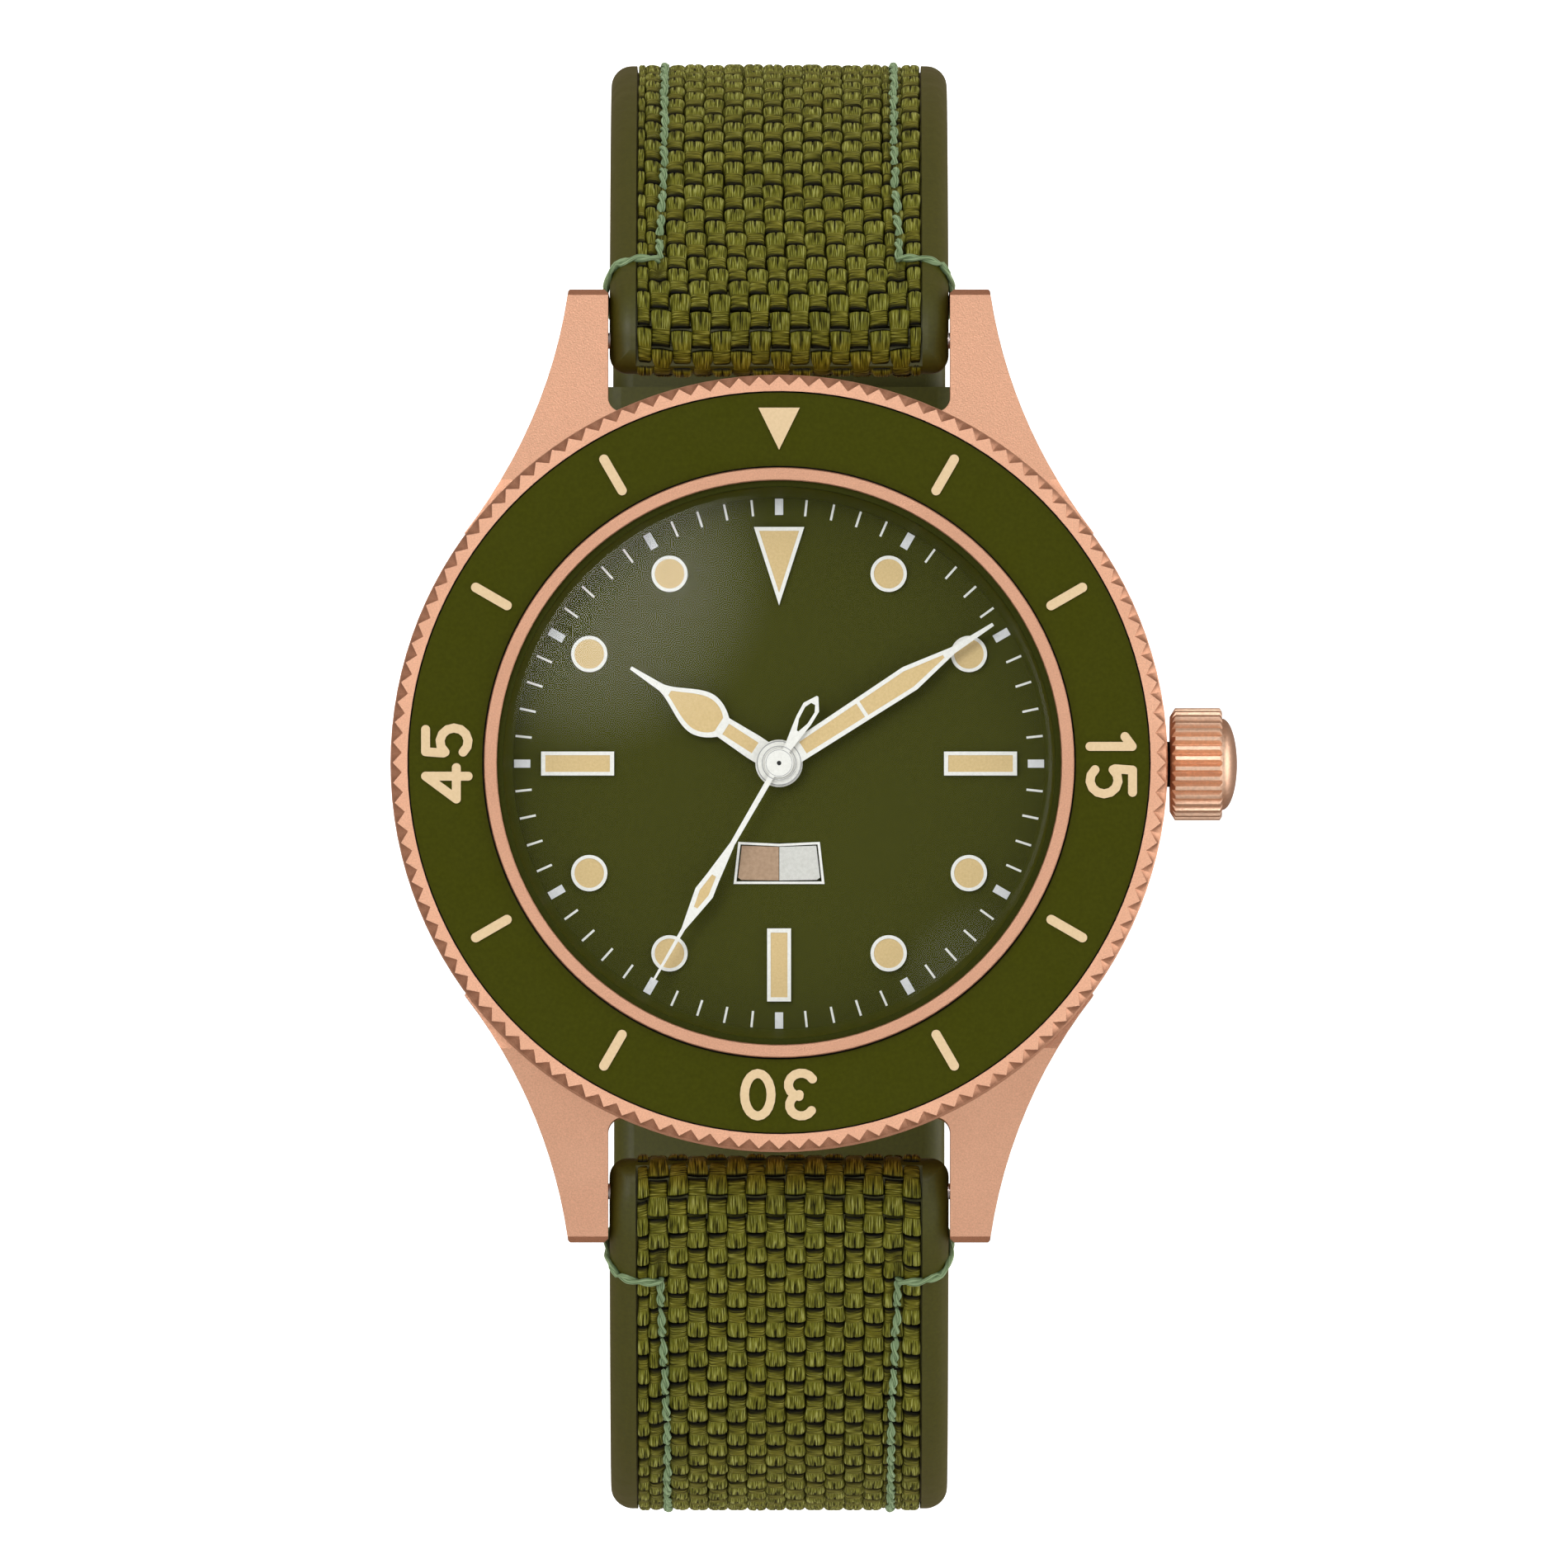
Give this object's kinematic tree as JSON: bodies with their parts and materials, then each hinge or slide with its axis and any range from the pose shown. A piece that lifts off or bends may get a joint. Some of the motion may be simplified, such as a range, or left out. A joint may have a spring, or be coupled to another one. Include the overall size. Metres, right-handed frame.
{
  "type": "dive watch",
  "caption": "Dive watch in rose-gold tone with olive dial and turning bezel, self-winding movement, fabric-faced rubber strap and pin buckle",
  "frame": {"origin": "centre of the case back's outer face, on the dial axis", "axes": "+Z out through the dial and crystal, +Y toward 12 o'clock, +X toward 3 o'clock and the crown"},
  "size_m": [0.0447, 0.0784, 0.0723],
  "materials": {
    "case_metal": "satin rose-gold tone",
    "steel": "satin",
    "brass": "satin",
    "gasket": "matt",
    "crystal": "clear",
    "ceramic_green": "smooth dark olive",
    "bezel_lume": "cream",
    "dial_green": "satin olive",
    "white_metal": "white",
    "lume": "cream",
    "paper": "matt",
    "strap_rubber": "matt olive",
    "strap_fabric": "woven olive",
    "thread": "sage green thread"
  },
  "bodies": {
    "case": {"mid_case": "case_metal", "case_back": "steel", "case_back_gasket": "gasket", "crystal_ring": "case_metal", "crystal_gasket": "gasket", "crystal": "crystal", "crown_tube": "steel", "bezel_click_spring": "steel", "dial": "dial_green", "flange_ring": "dial_green", "hour_marker_frames": "white_metal", "hour_marker_lume": "lume", "moisture_frame": "white_metal", "moisture_papers": "paper", "movement_holder": "steel", "main_plate": "steel", "train_bridge": "steel", "balance_cock": "steel", "movement_screws": "steel", "hairspring": "steel", "spring_bar_upper": "steel", "spring_bar_lower": "steel"},
    "timing_bezel": {"bezel": "case_metal", "bezel_insert": "ceramic_green", "bezel_markers": "bezel_lume"},
    "clutch": {"winding_pinion": "steel"},
    "stem": {"winding_stem": "steel", "crown": "case_metal"},
    "lever": {"setting_lever": "steel"},
    "minutes": {"centre_wheel": "brass", "minute_hand": "white_metal", "minute_hand_lume": "lume"},
    "hours": {"hour_wheel": "brass", "hour_hand": "white_metal", "hour_hand_lume": "lume"},
    "seconds": {"fourth_wheel": "brass", "seconds_hand": "white_metal", "seconds_hand_lume": "lume"},
    "third": {"third_wheel": "brass"},
    "motion_wheel": {"minute_wheel": "brass"},
    "spring_barrel": {"barrel": "brass"},
    "escape": {"escape_wheel": "steel"},
    "pallets": {"pallet_fork": "steel"},
    "balance": {"balance_wheel": "brass"},
    "winding_rotor": {"rotor": "steel"},
    "strap_half_upper": {"strap_upper": "strap_rubber", "strap_fabric_upper": "strap_fabric", "strap_thread_upper": "thread", "buckle_bar": "steel", "keeper_fixed": "strap_rubber"},
    "strap_half_lower": {"strap_lower": "strap_rubber", "strap_fabric_lower": "strap_fabric", "strap_thread_lower": "thread"},
    "buckle": {"buckle_frame": "case_metal"},
    "tongue": {"buckle_tongue": "case_metal"},
    "loose_keeper": {"keeper_free": "strap_rubber"},
    "tip_upper_left": {"spring_bar_tip_upper_left": "steel"},
    "tip_upper_right": {"spring_bar_tip_upper_right": "steel"},
    "tip_lower_left": {"spring_bar_tip_lower_left": "steel"},
    "tip_lower_right": {"spring_bar_tip_lower_right": "steel"}
  },
  "joints": [
    {"name": "bezel_turn", "type": "hinge", "parent": "case", "child": "timing_bezel", "pos_m": [0, 0, 0.0094], "axis": [0, 0, -1], "continuous": true},
    {"name": "crown_turn", "type": "hinge", "parent": "case", "child": "clutch", "pos_m": [0.0088, 0, 0.0076], "axis": [1, 0, 0], "continuous": true},
    {"name": "crown_pull", "type": "slide", "parent": "clutch", "child": "stem", "axis": [1, 0, 0], "range_m": [0, 0.0012]},
    {"name": "setting_lever_turn", "type": "hinge", "parent": "case", "child": "lever", "pos_m": [0.0063, 0.003, 0.0085], "axis": [0, 0, 1], "range_deg": [0, 23]},
    {"name": "minutes_turn", "type": "hinge", "parent": "case", "child": "minutes", "pos_m": [0, 0, 0.0085], "axis": [0, 0, -1], "continuous": true},
    {"name": "hours_turn", "type": "hinge", "parent": "case", "child": "hours", "pos_m": [0, 0, 0.009], "axis": [0, 0, -1], "continuous": true},
    {"name": "seconds_turn", "type": "hinge", "parent": "case", "child": "seconds", "pos_m": [0, 0, 0.008], "axis": [0, 0, -1], "continuous": true},
    {"name": "third_wheel_turn", "type": "hinge", "parent": "case", "child": "third", "pos_m": [-0.00225, -0.0039, 0.0065], "axis": [0, 0, -1], "continuous": true},
    {"name": "motion_wheel_turn", "type": "hinge", "parent": "case", "child": "motion_wheel", "pos_m": [-0.00282, -0.00103, 0.0086], "axis": [0, 0, -1], "continuous": true},
    {"name": "barrel_turn", "type": "hinge", "parent": "case", "child": "spring_barrel", "pos_m": [-0.00222, 0.00609, 0.0062], "axis": [0, 0, -1], "continuous": true},
    {"name": "escape_turn", "type": "hinge", "parent": "case", "child": "escape", "pos_m": [0.00283, -0.00337, 0.0064], "axis": [0, 0, -1], "continuous": true},
    {"name": "pallet_swing", "type": "hinge", "parent": "case", "child": "pallets", "pos_m": [0.00434, -0.00517, 0.0064], "axis": [0, 0, -1], "range_deg": [-6, 6]},
    {"name": "balance_swing", "type": "hinge", "parent": "case", "child": "balance", "pos_m": [0.00546, -0.00651, 0.0057], "axis": [0, 0, -1], "range_deg": [-150, 150], "stiffness_Nm_per_rad": 0.00000014},
    {"name": "rotor_turn", "type": "hinge", "parent": "case", "child": "winding_rotor", "pos_m": [0, 0, 0.0036], "axis": [0, 0, 1], "continuous": true},
    {"name": "strap_upper_swing", "type": "hinge", "parent": "case", "child": "strap_half_upper", "pos_m": [0, 0.0225, 0.0031], "axis": [1, 0, 0], "range_deg": [0, 60]},
    {"name": "strap_lower_swing", "type": "hinge", "parent": "case", "child": "strap_half_lower", "pos_m": [0, -0.0225, 0.0031], "axis": [-1, 0, 0], "range_deg": [0, 60]},
    {"name": "buckle_swing", "type": "hinge", "parent": "strap_half_upper", "child": "buckle", "pos_m": [0, 0.00639, -0.04261], "axis": [1, 0, 0], "range_deg": [-40, 25]},
    {"name": "tongue_swing", "type": "hinge", "parent": "buckle", "child": "tongue", "pos_m": [0, 0.00639, -0.04261], "axis": [1, 0, 0], "range_deg": [0, 25]},
    {"name": "keeper_slide", "type": "slide", "parent": "strap_half_upper", "child": "loose_keeper", "axis": [0, 1, 0], "range_m": [-0.0016, 0.0028]},
    {"name": "tip_upper_left_press", "type": "slide", "parent": "case", "child": "tip_upper_left", "axis": [1, 0, 0], "range_m": [0, 0.001], "stiffness_N_per_m": 200, "springref_m": -0.001},
    {"name": "tip_upper_right_press", "type": "slide", "parent": "case", "child": "tip_upper_right", "axis": [-1, 0, 0], "range_m": [0, 0.001], "stiffness_N_per_m": 200, "springref_m": -0.001},
    {"name": "tip_lower_left_press", "type": "slide", "parent": "case", "child": "tip_lower_left", "axis": [1, 0, 0], "range_m": [0, 0.001], "stiffness_N_per_m": 200, "springref_m": -0.001},
    {"name": "tip_lower_right_press", "type": "slide", "parent": "case", "child": "tip_lower_right", "axis": [-1, 0, 0], "range_m": [0, 0.001], "stiffness_N_per_m": 200, "springref_m": -0.001}
  ],
  "couplings": [
    {"joint": "hours_turn", "follows": "minutes_turn", "ratio": 0.083333},
    {"joint": "seconds_turn", "follows": "minutes_turn", "ratio": 60},
    {"joint": "third_wheel_turn", "follows": "minutes_turn", "ratio": -8},
    {"joint": "motion_wheel_turn", "follows": "minutes_turn", "ratio": -0.33333},
    {"joint": "barrel_turn", "follows": "minutes_turn", "ratio": -0.125},
    {"joint": "escape_turn", "follows": "minutes_turn", "ratio": -600},
    {"joint": "setting_lever_turn", "follows": "crown_pull", "rad_per_m": 333.33}
  ]
}
